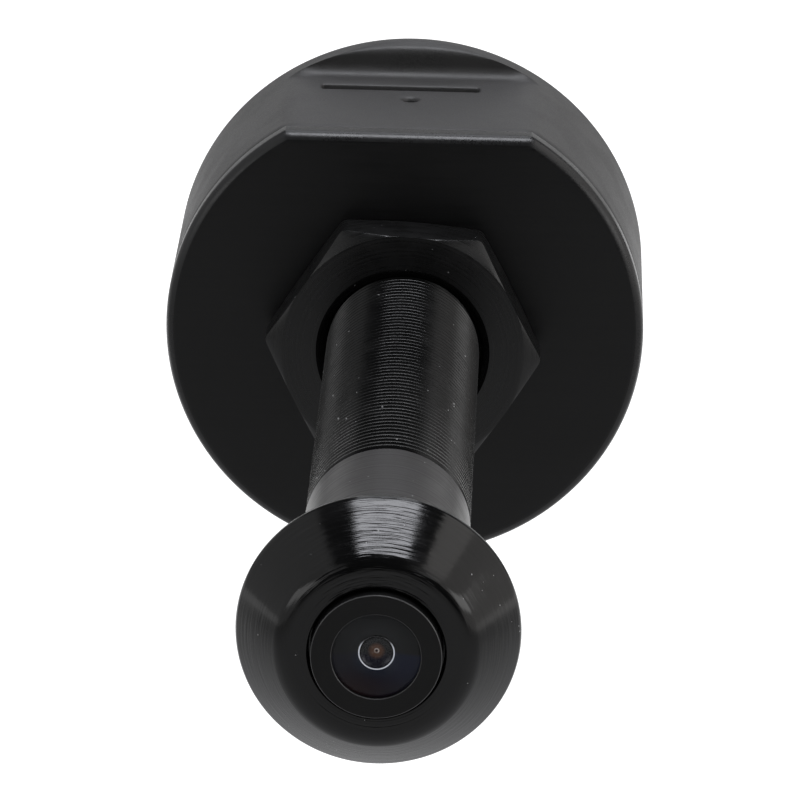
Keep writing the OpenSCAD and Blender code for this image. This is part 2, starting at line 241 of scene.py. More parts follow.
def brushed(name, color, rough, metallic=0.0, along="x", height=0.006, spec=0.5, dust=False, seed=0.0):
    """Finely brushed or ground metal, its lines along one axis."""
    m = Mat(name, color, rough, metallic, specular=spec)
    k = {"x": (0.12, 3.0, 9.0), "y": (7.0, 0.15, 7.0), "z": (7.0, 3.0, 0.15)}[along]
    lines = m.noise(1.0, 4.0, 0.6, m.stretch(*k))
    wide = m.noise(1.0, 2.0, 0.5, m.stretch(*[v * 0.22 for v in k]))
    cloud = m.noise(0.12, 3.0, 0.5)
    m.roughness(m.math("ADD", m.ramp(lines, 0.3, 0.7, rough - 0.07, rough + 0.07), m.ramp(cloud, 0.3, 0.7, -0.03, 0.04)))
    col = m.mix(m.ramp(lines, 0.35, 0.68), scaled(color, 0.78), scaled(color, 1.22))
    col = m.mix(m.ramp(wide, 0.4, 0.65), col, scaled(color, 1.08))
    if dust:
        col = m.mix(m.dust(0.3, 0.05, 0.93, seed), col, (0.3, 0.3, 0.3))
    m.base(col)
    m.bump(lines, height)
    return m.m


def circuit_board(name):
    m = Mat(name, (0.02, 0.12, 0.05), 0.32, specular=0.6)
    n = m.t.nodes.new("ShaderNodeTexBrick")
    n.inputs["Scale"].default_value = 0.9
    n.inputs["Mortar Size"].default_value = 0.055
    n.inputs["Color1"].default_value = (0, 0, 0, 1)
    n.inputs["Color2"].default_value = (0.05, 0.05, 0.05, 1)
    n.inputs["Mortar"].default_value = (1, 1, 1, 1)
    flat = m.t.nodes.new("ShaderNodeCombineXYZ")
    m.put(flat.inputs[0], m.x)
    m.put(flat.inputs[1], m.z)
    m.t.links.new(flat.outputs[0], n.inputs["Vector"])
    traces = m.ramp(n.outputs["Color"], 0.2, 0.6)
    keep = m.ramp(m.noise(0.35, 2.0, 0.5), 0.48, 0.52)
    t = m.math("MULTIPLY", traces, keep)
    weave = m.noise(5.0, 2.0, 0.5)
    col = m.mix(m.ramp(weave, 0.35, 0.65), (0.012, 0.085, 0.035), (0.02, 0.12, 0.05))
    m.base(m.mix(t, col, (0.05, 0.24, 0.1)))
    m.bump(t, 0.02)
    m.bump(weave, 0.004)
    return m.m


def glass(name, tint, rough=0.02):
    m = Mat(name, tint, rough)
    m.b.inputs["Transmission Weight"].default_value = 1.0
    m.b.inputs["IOR"].default_value = 1.52
    haze = m.noise(0.9, 3.0, 0.6)
    m.roughness(m.ramp(haze, 0.35, 0.7, rough, rough + 0.03))
    m.base(m.mix(m.ramp(haze, 0.3, 0.7), tint, scaled(tint, 0.9)))
    return m.m


def wire(name, color):
    m = Mat(name, color, 0.42, specular=0.5)
    n = m.noise(3.0, 3.0, 0.5)
    m.base(m.mix(m.ramp(n, 0.3, 0.7), scaled(color, 0.8), scaled(color, 1.15)))
    m.roughness(m.ramp(n, 0.3, 0.7, 0.36, 0.5))
    m.bump(n, 0.01)
    return m.m


def bezel_gloss():
    """Gloss black, with turning marks that break off round the circle."""
    m = Mat("bezel_gloss_black", (0.003, 0.003, 0.0032), 0.14)
    r = m.radius()
    along = m.math("ADD", r, m.math("MULTIPLY", m.y, 0.77))
    a = m.math("ARCTAN2", m.z, m.x)
    v = m.t.nodes.new("ShaderNodeCombineXYZ")
    m.put(v.inputs[0], m.math("MULTIPLY", along, 3.4))
    m.put(v.inputs[1], m.math("MULTIPLY", m.math("SINE", a), 2.3))
    m.put(v.inputs[2], m.math("MULTIPLY", m.math("COSINE", a), 2.3))
    marks = m.noise(1.0, 2.0, 0.5, v.outputs[0])
    w = m.t.nodes.new("ShaderNodeCombineXYZ")
    m.put(w.inputs[0], m.math("MULTIPLY", along, 9.0))
    m.put(w.inputs[1], m.math("MULTIPLY", m.math("SINE", a), 1.1))
    m.put(w.inputs[2], m.math("MULTIPLY", m.math("COSINE", a), 1.1))
    fine = m.noise(1.0, 2.0, 0.5, w.outputs[0])
    patch = m.noise(0.35, 3.0, 0.6)
    m.roughness(m.math("ADD", m.ramp(fine, 0.3, 0.7, 0.1, 0.17), m.ramp(patch, 0.35, 0.7, -0.02, 0.04)))
    specks = m.dust(1.3, 0.11, 0.55, 3.1)
    m.base(m.mix(specks, m.mix(m.ramp(patch, 0.3, 0.7), (0.0026, 0.0026, 0.0027), (0.0036, 0.0036, 0.0038)), (0.3, 0.3, 0.3)))
    # the marks are deepest on the upper part of the flank and fade down the sides
    up = m.math("ABSOLUTE", m.math("SUBTRACT", a, 0.5 * PI))
    up = m.math("MINIMUM", up, m.math("SUBTRACT", 2 * PI, up))
    m.bump(m.math("MULTIPLY", marks, m.ramp(up, 0.95, 0.5, 0.22, 1.0)), 0.062)
    m.bump(fine, 0.006)
    return m.m


M = {
    "bezel": bezel_gloss(),
    "lens_ring": turned_black("lens_ring_black", (0.0035, 0.0035, 0.0036), 0.42, 6.0, 0.004, dust=False, grain=0.004, spec=0.33),
    # lighter colour on the front bevels of the lens ring
    "lens_edge": turned_black("lens_edge_lighter", (0.055, 0.055, 0.056), 0.35, 6.0, 0.003, dust=False),
    "shank": turned_black("shank_satin_black", (0.02, 0.0188, 0.0192), 0.38, 5.0, 0.003, seed=8.4, grain=0.006),
    "thread": turned_black("thread_black", (0.0035, 0.0035, 0.0036), 0.22, 7.0, 0.002, seed=5.2, grain=0.003, dust_share=0.35),
    "nut": turned_black("nut_satin_black", (0.0055, 0.0055, 0.0056), 0.3, 5.0, 0.004, seed=1.3, grain=0.005),
    "plate": brushed("plate_brushed_black", (0.0042, 0.0042, 0.0044), 0.4, along="x", dust=True, seed=2.0, spec=0.4),
    "plate_edge": moulded("plate_edge_black", (0.012, 0.012, 0.0124), 0.33, 5.0, 0.009),
    "housing": moulded("housing_textured_black", (0.036, 0.0354, 0.0352), 0.5, 5.5, 0.02),
    "cover": moulded("cover_textured_black", (0.022, 0.022, 0.022), 0.5, 6.5, 0.012),
    "button": moulded("button_smooth_black", (0.014, 0.014, 0.0145), 0.34, 9.0, 0.004),
    "rubber": moulded("soft_rubber", (0.012, 0.012, 0.012), 0.72, 4.0, 0.01),
    "nylon": moulded("washer_nylon", (0.015, 0.015, 0.015), 0.5, 3.0, 0.004),
    "card": moulded("card_plastic", (0.012, 0.012, 0.013), 0.36, 8.0, 0.004),
    "holder": moulded("holder_plastic", (0.015, 0.015, 0.015), 0.5, 6.0, 0.006),
    "switch": moulded("switch_plastic", (0.02, 0.02, 0.02), 0.45, 6.0, 0.006),
    "white_plastic": moulded("connector_plastic", (0.62, 0.6, 0.55), 0.45, 5.0, 0.005),
    "foam": moulded("foam", (0.05, 0.05, 0.05), 0.9, 2.6, 0.09),
    "steel": brushed("screw_steel", (0.55, 0.55, 0.57), 0.3, 1.0, "x", 0.003),
    "can": brushed("tinned_can", (0.62, 0.62, 0.63), 0.26, 1.0, "z", 0.003),
    "brass": brushed("turned_brass", (0.62, 0.45, 0.18), 0.28, 1.0, "y", 0.003),
    "foil": moulded("battery_foil", (0.5, 0.52, 0.56), 0.34, 0.9, 0.08),
    "board": circuit_board("circuit_board"),
    "chip": moulded("sensor_glass", (0.01, 0.012, 0.02), 0.12, 4.0, 0.001),
    "filter": glass("filter_glass", (0.75, 0.45, 0.6)),
    "inner_glass": glass("inner_glass", (0.7, 0.75, 0.85)),
    "clear": glass("light_guide", (0.85, 0.93, 0.97), 0.08),
    "red_wire": wire("red_wire", (0.35, 0.02, 0.015)),
}


def ribbon():
    m = Mat("ribbon_film", (0.3, 0.13, 0.02), 0.24, specular=0.6)
    stripes = m.math("ABSOLUTE", m.math("SINE", m.math("MULTIPLY", m.x, PI / 0.5)))
    t = m.ramp(stripes, 0.35, 0.65)
    m.base(m.mix(t, (0.18, 0.07, 0.01), (0.42, 0.2, 0.035)))
    m.bump(t, 0.02)
    return m.m


def clear_dome():
    """Front element's polished face: lets light through and reflects the rest."""
    m = bpy.data.materials.new("clear_dome")
    m.use_nodes = True
    t = m.node_tree
    t.nodes.remove(t.nodes["Principled BSDF"])
    clear = t.nodes.new("ShaderNodeBsdfTransparent")
    clear.inputs["Color"].default_value = (0.97, 0.98, 1.0, 1)
    shine = t.nodes.new("ShaderNodeBsdfGlossy")
    tc = t.nodes.new("ShaderNodeTexCoord")
    s = t.nodes.new("ShaderNodeVectorMath")
    s.operation = "SCALE"
    s.inputs["Scale"].default_value = 1000
    t.links.new(tc.outputs["Object"], s.inputs[0])
    n = t.nodes.new("ShaderNodeTexNoise")
    n.inputs["Scale"].default_value = 1.4
    n.inputs["Detail"].default_value = 3
    t.links.new(s.outputs[0], n.inputs["Vector"])
    rough = t.nodes.new("ShaderNodeMapRange")
    t.links.new(n.outputs["Fac"], rough.inputs["Value"])
    rough.inputs["From Min"].default_value, rough.inputs["From Max"].default_value = 0.35, 0.7
    rough.inputs["To Min"].default_value, rough.inputs["To Max"].default_value = 0.02, 0.06
    t.links.new(rough.outputs[0], shine.inputs["Roughness"])
    f = t.nodes.new("ShaderNodeFresnel")
    f.inputs["IOR"].default_value = 1.28
    geo = t.nodes.new("ShaderNodeNewGeometry")
    outside = t.nodes.new("ShaderNodeMath")
    outside.operation = "SUBTRACT"
    outside.inputs[0].default_value = 1.0
    t.links.new(geo.outputs["Backfacing"], outside.inputs[1])
    share = t.nodes.new("ShaderNodeMath")
    share.operation = "MULTIPLY"
    t.links.new(f.outputs[0], share.inputs[0])
    t.links.new(outside.outputs[0], share.inputs[1])
    mix = t.nodes.new("ShaderNodeMixShader")
    t.links.new(share.outputs[0], mix.inputs[0])
    t.links.new(clear.outputs[0], mix.inputs[1])
    t.links.new(shine.outputs[0], mix.inputs[2])
    t.links.new(mix.outputs[0], t.nodes["Material Output"].inputs["Surface"])
    return m


def coated_back():
    """Back of the front element, seen through it: nearly black, with a painted reflection in its colour. Blue, violet
    and brown tints sit below a painted horizon line, with a painted blue halo and two light painted arcs.
    """
    m = Mat("coated_back", (0.006, 0.006, 0.008), 0.3, specular=0.3)
    # painted reflection: the colour changes at a horizontal line just above the middle, like a reflected horizon, and
    # is tinted blue, violet and brown below it
    low = m.ramp(m.z, 0.2, -0.12)
    lower = m.ramp(m.z, -0.9, -3.2)
    side = m.ramp(m.x, -2.4, 2.4)
    r = m.radius()
    upper = m.mix(m.ramp(r, 1.5, 3.4), (0.0046, 0.0046, 0.0042), (0.0036, 0.0036, 0.0035))
    blue = m.mix(side, (0.004, 0.0034, 0.0095), (0.0034, 0.0062, 0.026))
    violet = m.mix(side, (0.0125, 0.0024, 0.0028), (0.0046, 0.0026, 0.010))
    bottom = m.mix(lower, blue, violet)
    col = m.mix(low, upper, bottom)
    # painted highlight: two light arcs, at radius 2.06 and 1.78, the outer one fading towards the bottom
    arc = m.ramp(m.math("ABSOLUTE", m.math("SUBTRACT", r, 2.06)), 0.07, 0.02)
    arc = m.math("MULTIPLY", arc, m.ramp(m.z, -0.9, 0.6))
    arc2 = m.ramp(m.math("ABSOLUTE", m.math("SUBTRACT", r, 1.78)), 0.06, 0.02)
    # painted reflection: a blue halo round the centre, below the middle
    painted_halo = m.math("MULTIPLY", m.ramp(r, 2.3, 1.5), m.ramp(m.z, 0.1, -0.5))
    col = m.mix(m.math("MULTIPLY", painted_halo, 0.5), col, (0.006, 0.0145, 0.034))
    col = m.mix(m.math("MULTIPLY", m.math("ADD", arc, m.math("MULTIPLY", arc2, 0.5)), 0.55), col, (0.014, 0.017, 0.023))
    grain = m.noise(5.0, 2.0, 0.5)
    m.base(col)
    m.roughness(m.ramp(grain, 0.3, 0.7, 0.34, 0.44))
    m.bump(grain, 0.0006)
    return m.m


def glass_rim():
    """Polished edge of the hollow in the front element, with a painted highlight: light colour and a faint glow on its
    lower three quarters, dark on the top.
    """
    m = Mat("polished_inner_edge_painted_highlight", (0.5, 0.5, 0.52), 0.2, specular=0.8)
    a = m.math("ARCTAN2", m.z, m.x)
    top = m.math("ABSOLUTE", m.math("SUBTRACT", a, 0.5 * PI))
    top = m.math("MINIMUM", top, m.math("SUBTRACT", 2 * PI, top))
    f = m.ramp(top, 0.75, 1.3)
    # painted highlight: the base colour is light on the lower three quarters and dark on top, and the same part glows
    # through its emission
    m.base(m.mix(f, (0.012, 0.012, 0.013), (0.62, 0.64, 0.68)))
    m.t.links.new(m.mix(f, (0.0, 0.0, 0.0), (0.8, 0.82, 0.88)), m.b.inputs["Emission Color"])
    m.b.inputs["Emission Strength"].default_value = 0.3
    m.roughness(m.ramp(m.noise(6.0, 2.0, 0.5), 0.3, 0.7, 0.15, 0.3))
    return m.m


def inner_element_painted_highlight():
    """Hollow behind the front element, with painted reflection and highlight: a bluish lower side, a brown patch round
    its small light opening and a light painted ring there.
    """
    m = Mat("inner_hollow_painted_highlight", (0.01, 0.008, 0.007), 0.25, specular=0.4)
    r = m.radius()
    # painted reflection: bluish on the lower side, darker above
    low = m.ramp(m.z, 0.1, -0.6)
    side = m.mix(low, (0.008, 0.008, 0.0075), (0.016, 0.0145, 0.026))
    # painted reflection: brown round the opening
    col = m.mix(m.ramp(r, 0.8, 0.36), side, (0.13, 0.06, 0.032))
    # painted highlight: a small light ring round the opening, broken up by noise
    ring = m.ramp(m.math("ABSOLUTE", m.math("SUBTRACT", r, 0.17)), 0.07, 0.02)
    patchy = m.ramp(m.noise(3.3, 1.0, 0.5), 0.42, 0.56)
    col = m.mix(m.math("MULTIPLY", ring, m.ramp(patchy, 0.0, 1.0, 0.4, 1.0)), col, (0.75, 0.66, 0.6))
    m.base(m.mix(m.ramp(r, 0.1, 0.05), col, (0.006, 0.006, 0.006)))
    m.roughness(m.ramp(m.noise(5.0, 2.0, 0.5), 0.3, 0.7, 0.2, 0.3))
    return m.m


M["ribbon"] = ribbon()
M["dome"] = clear_dome()
M["coated"] = coated_back()
M["glass_rim"] = glass_rim()
M["inner"] = inner_element_painted_highlight()


# ------------------------------------------------------------------ mesh helpers (millimetres in, metres out)
def finish_mesh(me, sharp=32.0):
    bm = bmesh.new()
    bm.from_mesh(me)
    bmesh.ops.remove_doubles(bm, verts=bm.verts, dist=2e-7)
    bmesh.ops.dissolve_degenerate(bm, edges=bm.edges, dist=1e-7)
    bmesh.ops.recalc_face_normals(bm, faces=bm.faces)
    bm.to_mesh(me)
    bm.free()
    me.shade_smooth()
    me.set_sharp_from_angle(angle=math.radians(sharp))


def make(name, verts, faces, mats, body=None, replaces=(), sharp=32.0, index=None):
    me = bpy.data.meshes.new(name)
    me.from_pydata([Vector(v) * MM for v in verts], [], faces)
    o = bpy.data.objects.new(name, me)
    scene.collection.objects.link(o)
    for m in mats if isinstance(mats, (list, tuple)) else [mats]:
        me.materials.append(m)
    if index is not None:
        me.polygons.foreach_set("material_index", index)
    finish_mesh(me, sharp)
    if body:
        settle(o, body, replaces)
    return o


def settle(o, body, replaces=()):
    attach(o, body)
    if replaces:
        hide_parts(*replaces)


def rounded(points, n=5):
    """Closed outline with each corner rounded. A point is (a, b) or (a, b, radius)."""
    out = []
    k = len(points)
    for i in range(k):
        p = Vector(points[i][:2])
        r = points[i][2] if len(points[i]) > 2 else 0
        if not r:
            out.append((p.x, p.y))
            continue
        a = Vector(points[i - 1][:2]) - p
        b = Vector(points[(i + 1) % k][:2]) - p
        la, lb = a.length, b.length
        a, b = a / la, b / lb
        half = math.acos(max(-1.0, min(1.0, a.dot(b)))) / 2
        d = min(r / math.tan(half), la * 0.49, lb * 0.49)
        rr = d * math.tan(half)
        c = p + (a + b).normalized() * (rr / math.sin(half))
        s, e = p + a * d, p + b * d
        s0 = math.atan2(s.y - c.y, s.x - c.x)
        e0 = math.atan2(e.y - c.y, e.x - c.x)
        turn = (e0 - s0 + PI) % (2 * PI) - PI
        for j in range(n + 1):
            t = s0 + turn * j / n
            out.append((c.x + rr * math.cos(t), c.y + rr * math.sin(t)))
    return out


def ring_faces(cols, rows, close_rows=True):
    """Quads of a grid that closes on itself round the columns, and round the rows if asked."""
    faces = []
    for i in range(cols):
        ni = (i + 1) % cols
        for j in range(rows if close_rows else rows - 1):
            nj = (j + 1) % rows
            faces.append((i * rows + j, ni * rows + j, ni * rows + nj, i * rows + nj))
    return faces


def revolve(name, outline, mats, body=None, replaces=(), seg=160, sharp=32.0, x0=0.0, z0=0.0, faces_of=None):
    """Closed outline of (radius, y) turned about a line along Y."""
    verts, rows = [], len(outline)
    for i in range(seg):
        a = 2 * PI * i / seg
        for r, y in outline:
            verts.append((x0 + r * math.cos(a), y, z0 + r * math.sin(a)))
    faces = ring_faces(seg, rows)
    index = [faces_of(outline[f % rows], outline[(f + 1) % rows]) for f in range(len(faces))] if faces_of else None
    # rows of one column run through the outline, so the face number modulo the rows is the outline's edge
    return make(name, verts, faces, mats, body, replaces, sharp, index)


def lathe_open(name, outline, mats, body=None, replaces=(), seg=128, sharp=32.0, x0=0.0, z0=0.0, index=None):
    """Open outline whose two ends lie on the axis."""
    verts, inner = [], outline[1:-1]
    rows = len(inner)
    for i in range(seg):
        a = 2 * PI * i / seg
        for r, y in inner:
            verts.append((x0 + r * math.cos(a), y, z0 + r * math.sin(a)))
    s, e = len(verts), len(verts) + 1
    verts += [(x0, outline[0][1], z0), (x0, outline[-1][1], z0)]
    faces = ring_faces(seg, rows, False)
    for i in range(seg):
        ni = (i + 1) % seg
        faces.append((s, ni * rows, i * rows))
        faces.append((e, i * rows + rows - 1, ni * rows + rows - 1))
    return make(name, verts, faces, mats, body, replaces, sharp, index)


def cut(o, *cutters, sharp=32.0):
    for c in cutters:
        mod = o.modifiers.new("cut", "BOOLEAN")
        mod.operation, mod.solver, mod.object = "DIFFERENCE", "EXACT", c
    dg = bpy.context.evaluated_depsgraph_get()
    me = bpy.data.meshes.new_from_object(o.evaluated_get(dg))
    o.modifiers.clear()
    old = o.data
    o.data = me
    bpy.data.meshes.remove(old)
    for c in cutters:
        bpy.data.objects.remove(c)
    bm = bmesh.new()
    bm.from_mesh(me)
    bmesh.ops.remove_doubles(bm, verts=bm.verts, dist=1e-7)
    bm.to_mesh(me)
    bm.free()
    me.shade_smooth()
    me.set_sharp_from_angle(angle=math.radians(sharp))
    return o


def loft(name, rings, mat):
    """Closed solid through rings of equal point count, capped at both ends."""
    n = len(rings[0])
    verts = [p for ring in rings for p in ring]
    faces = []
    for k in range(len(rings) - 1):
        for i in range(n):
            j = (i + 1) % n
            faces.append((k * n + i, k * n + j, (k + 1) * n + j, (k + 1) * n + i))
    faces.append(tuple(range(n)))
    faces.append(tuple((len(rings) - 1) * n + i for i in range(n)))
    return make(name, verts, faces, mat)


def stadium(w, h, r, n=6):
    """Rounded rectangle w by h, as (a, b) points."""
    pts = []
    for cx, cy, a0 in ((w / 2 - r, h / 2 - r, 0), (-w / 2 + r, h / 2 - r, 90), (-w / 2 + r, -h / 2 + r, 180), (w / 2 - r, -h / 2 + r, 270)):
        for i in range(n + 1):
            a = math.radians(a0 + 90 * i / n)
            pts.append((cx + r * math.cos(a), cy + r * math.sin(a)))
    return pts


def drill(r, y0, y1, x=0.0, z=0.0, flare=0.0, flare_y=None, seg=32):
    """Cutter along Y, widening at one end by flare for a small chamfer."""
    rings = [(r, y0), (r, y1)]
    if flare:
        rings = [(r, y0), (r, flare_y - flare), (r + flare + 0.3, flare_y + 0.3)] if flare_y > y0 + 0.1 else [(r + flare + 0.3, flare_y - 0.3), (r, flare_y + flare), (r, y1)]
    return loft("cutter", [[(x + q * math.cos(2 * PI * i / seg), y, z + q * math.sin(2 * PI * i / seg)) for i in range(seg)] for q, y in rings], M["steel"])


def drill_z(points_at, levels):
    """Cutter along Z through rings given as outline(level)."""
    return loft("cutter", [[(x, y, z) for x, y in points_at(g)] for z, g in levels], M["steel"])


# ------------------------------------------------------------------ camera head
def build_bezel():
    rim = 0.9
    cx, cy = BEZEL_R - rim, -0.9 - rim
    px, py = 7.8, BEZEL_Y
    dx, dy = cx - px, cy - py
    far = math.hypot(dx, dy)
    run = math.sqrt(far * far - rim * rim)
    turn = math.atan2(dy, dx) - math.asin(rim / far)
    tx, ty = px + run * math.cos(turn), py + run * math.sin(turn)
    recess = LENS_R + 0.28
    front = [(4.5, -5.6), (recess, -5.6, 0.1), (recess, py + 0.02, 0.09)]
    for r, d in ((5.8, 0.014), (6.02, 0.01), (6.3, 0.015), (6.58, 0.008)):
        front += [(r - 0.07, py + 0.003, 0.03), (r, py + d, 0.03), (r + 0.07, py + 0.003, 0.03)]
    # broad rounding between the face and the flank
    lean = math.atan2(ty - py, tx - px)
    soft = 1.8
    back_off = soft * math.tan(lean / 2)
    front += [(px - back_off + soft * math.sin(lean * i / 14), py + soft * (1 - math.cos(lean * i / 14))) for i in range(15)]
    front += [(tx, ty)]
    a0 = math.atan2(ty - cy, tx - cx)
    n = 12
    arc = [(cx + rim * math.cos(a0 + (PI / 2 - a0) * i / n), cy + rim * math.sin(a0 + (PI / 2 - a0) * i / n)) for i in range(1, n + 1)]
    rear = [(6.2, -0.9, 0.1), (6.2, -4.4), (4.5, -4.4)]
    pts = rounded(front + arc + rear, 7)
    revolve("bezel_visual", pts, M["bezel"], "viewer", ("outer_bezel",), seg=224, sharp=40)


def build_lens():
    g = GLASS_R + 0.015
    pts = rounded([
        (g, LENS_Y + 0.06), (g + 0.06, LENS_Y), (LENS_R - 0.07, LENS_Y), (LENS_R, LENS_Y + 0.07), (LENS_R, -6.2, 0.05), (4.35, -6.2), (4.35, 0.1), (2.65, 0.1),
        (2.65, -3.8), (1.9, -3.8), (1.9, -4.1), (2.4, -4.1), (2.4, -5.93), (g, -5.93),
    ], 4)
    edge = lambda a, b: 1 if (a[1] < LENS_Y + 0.13 and b[1] < LENS_Y + 0.13 and abs(a[1] - b[1]) > 0.02) else 0
    revolve("lens_ring_visual", pts, [M["lens_ring"], M["lens_edge"]], "viewer", ("lens_barrel",), seg=192, sharp=25, faces_of=edge)
    # front glass: a clear dome over its back, which holds a painted reflection; its hollow has a polished edge with a
    # painted highlight, and the light opening at its bottom
    big = 20.0
    rim_y = LENS_Y + 0.34
    back = LENS_Y + 1.0
    sag = big - math.sqrt(big * big - GLASS_R ** 2)
    out = [(0.0, rim_y - sag)]
    n = 24
    for i in range(1, n + 1):
        r = (GLASS_R - 0.06) * i / n
        out.append((r, rim_y - sag + big - math.sqrt(big * big - r * r)))
    out += [(GLASS_R, rim_y + 0.05), (GLASS_R, rim_y + 0.09)]
    dome_rows = len(out) - 1
    for i in range(1, 9):
        f = i / 9
        out.append((GLASS_R + (1.47 - GLASS_R) * f, rim_y + 0.09 + (back - rim_y - 0.09) * (0.35 * f + 0.65 * f * f)))
    coat_rows = len(out)
    out += [(1.47, back), (1.455, back - 0.03), (1.41, back - 0.05), (1.37, back - 0.03), (1.36, back)]
    rim_rows = len(out) - 1
    k = 14
    for i in range(1, k):
        q = 0.5 * PI * i / k
        out.append((1.36 * math.cos(q), back + 0.45 * math.sin(q)))
    out.append((0.0, back + 0.45))
    index = []
    seg = 160
    rows = len(out) - 2
    pick = lambda j: 0 if j + 1 < dome_rows - 1 else (1 if j + 1 < coat_rows else (2 if j + 1 < rim_rows else 3))
    for c in range(seg):
        index += [pick(j) for j in range(rows - 1)]
    for c in range(seg):
        index += [0, 3]
    lathe_open("front_glass_visual", out, [M["dome"], M["coated"], M["glass_rim"], M["inner"]], "viewer", ("front_lens",), seg=seg, sharp=40, index=index)


def build_barrel():
    seg = 112
    rows = [(0.0, 0.0), (0.09, 0.0), (0.115, 0.045), (0.4, 0.97), (0.42, 1.0), (0.58, 1.0), (0.6, 0.97), (0.885, 0.045), (0.91, 0.0)]
    m = len(rows)
    y0 = THREAD_Y + 0.34
    end = BARREL_END - 0.75
    turns = int((end - y0) / PITCH)
    crest = BARREL_R - 0.015
    relief = BARREL_R - 0.36

    def depth_at(y):
        a = min(1.0, max(0.0, (y - y0) / (0.3 * PITCH)))
        b = min(1.0, max(0.0, (end - y) / (0.5 * PITCH)))
        a, b = a * a * (3 - 2 * a), b * b * (3 - 2 * b)
        return a * b

    verts, faces, index = [], [], []

    def add(r, y, a):
        verts.append((r * math.cos(a), y, r * math.sin(a)))
        return len(verts) - 1

    # inner and outer plain rings at each end
    def ring(r, y):
        return [add(r, y, 2 * PI * k / seg) for k in range(seg)]

    front = [ring(r, y) for r, y in [(5.0, -4.4), (6.15, -4.4), (6.15, -0.9), (6.5, -0.9), (6.5, 0.0), (BARREL_R - 0.08, 0.0), (BARREL_R, 0.08), (BARREL_R, 11.0), (BARREL_R, THREAD_Y - 0.12), (BARREL_R - 0.05, THREAD_Y - 0.05), (BARREL_R - 0.12, THREAD_Y), (relief, THREAD_Y + 0.1), (relief, y0 - 0.02)]]
    # helix columns: right-handed, so the thread advances along +Y as the angle about +Y grows
    grid = []
    for k in range(seg):
        a = 2 * PI * k / seg
        col = []
        for i in range(-1, turns + 1):
            for f, d in rows:
                # angle in the XZ plane drawn here runs from +X to +Z, which is a negative turn about +Y
                y = max(y0, y0 + PITCH * (i + f - k / seg))
                if y < y0 + PITCH:
                    r = relief + (crest - DEPTH * d - relief) * min(1.0, (y - y0) / (0.3 * PITCH))
                else:
                    r = crest - DEPTH * d * depth_at(y)
                col.append(add(r, y, a))
        grid.append(col)
    back = [ring(r, y) for r, y in [(BARREL_R - 0.06, end + 0.12), (BARREL_R - 0.5, BARREL_END), (5.0, BARREL_END)]]

    def quad(a, b, c, d, mat):
        faces.append((a, b, c, d))
        index.append(mat)

    rings_all = front
    for q in range(len(front) - 1):
        for k in range(seg):
            n = (k + 1) % seg
            quad(front[q][k], front[q][n], front[q + 1][n], front[q + 1][k], 0)
    for q in range(len(back) - 1):
        for k in range(seg):
            n = (k + 1) % seg
            quad(back[q][k], back[q][n], back[q + 1][n], back[q + 1][k], 1)
    for k in range(seg):
        n = (k + 1) % seg
        quad(back[-1][k], back[-1][n], front[0][n], front[0][k], 1)
    length = len(grid[0])
    for k in range(seg - 1):
        for j in range(length - 1):
            quad(grid[k][j], grid[k + 1][j], grid[k + 1][j + 1], grid[k][j + 1], 1)
        quad(front[-1][k], front[-1][k + 1], grid[k + 1][0], grid[k][0], 0)
        quad(grid[k][-1], grid[k + 1][-1], back[0][k + 1], back[0][k], 1)
    # seam: one turn of angle moves the thread by one pitch, so column 0 meets the last column shifted by a turn
    k = seg - 1
    for j in range(m, length):
        if j + 1 < length:
            quad(grid[k][j], grid[0][j - m], grid[0][j - m + 1], grid[k][j + 1], 1)
    faces.append(tuple([front[-1][k], front[-1][0], grid[0][0]] + [grid[k][j] for j in range(m, -1, -1)]))
    index.append(0)
    faces.append(tuple([grid[k][length - 1]] + [grid[0][j] for j in range(length - 1 - m, length)] + [back[0][0], back[0][k]]))
    index.append(1)
    make("barrel_visual", verts, faces, [M["shank"], M["thread"]], "viewer", ("barrel",), sharp=16, index=index)


# ------------------------------------------------------------------ locking nut
def build_nut():
    apothem = 11.0
    inside = apothem + 0.05
    seg = 360
    cols = []
    soft = 0.3
    for i in range(seg):
        a = 2 * PI * i / seg
        w = (a - NUT_TURN) % (PI / 3) - PI / 6
        r_hex = apothem / math.cos(w)
        # round each corner's edge
        corner = apothem / math.cos(PI / 6)
        r_cap = corner - 0.12
        k = 0.05
        r_hex = -k * math.log(math.exp(-r_hex / k) + math.exp(-(r_cap) / k)) if r_hex > corner - 0.6 else r_hex
        cols.append((a, r_hex))
    slope = 1.6 / 3
    y0, y1 = NUT_Y0, NUT_Y1
    verts, rows = [], None
    for a, rh in cols:
        r_in = min(inside, rh)
        yc = y0 + max(0.0, rh - inside) * slope
        yd = y1 - max(0.0, rh - inside) * slope
        o = [(BARREL_R + 0.06, y0 + 0.9), (BARREL_R + 0.1, y0 + 0.8), (BARREL_R + 0.86, y0 + 0.035), (BARREL_R + 0.93, y0)]
        o += [(BARREL_R + 1.6, y0), (r_in - 0.5, y0), (r_in - 0.06, y0)]
        mid = (yc - y0)
        o += [(r_in + (rh - r_in) * 0.06, y0 + mid * 0.06 + 0.012), (r_in + (rh - r_in) * 0.5, y0 + mid * 0.5 + 0.012)]
        o += [(rh - 0.07, yc - 0.02 + 0.02), (rh - 0.015, yc + 0.05), (rh, yc + 0.13)]
        o += [(rh, (yc + yd) / 2), (rh, yd - 0.13), (rh - 0.015, yd - 0.05), (rh - 0.07, yd)]
        o += [(r_in + (rh - r_in) * 0.5, y1 - mid * 0.5 - 0.012), (r_in - 0.06, y1), (BARREL_R + 0.6, y1), (BARREL_R + 0.06, y1 - 0.6)]
        rows = len(o)
        verts += [(r * math.cos(a), y, r * math.sin(a)) for r, y in o]
    make("lock_nut_visual", verts, ring_faces(seg, rows), M["nut"], "nut", ("lock_nut",), sharp=24)


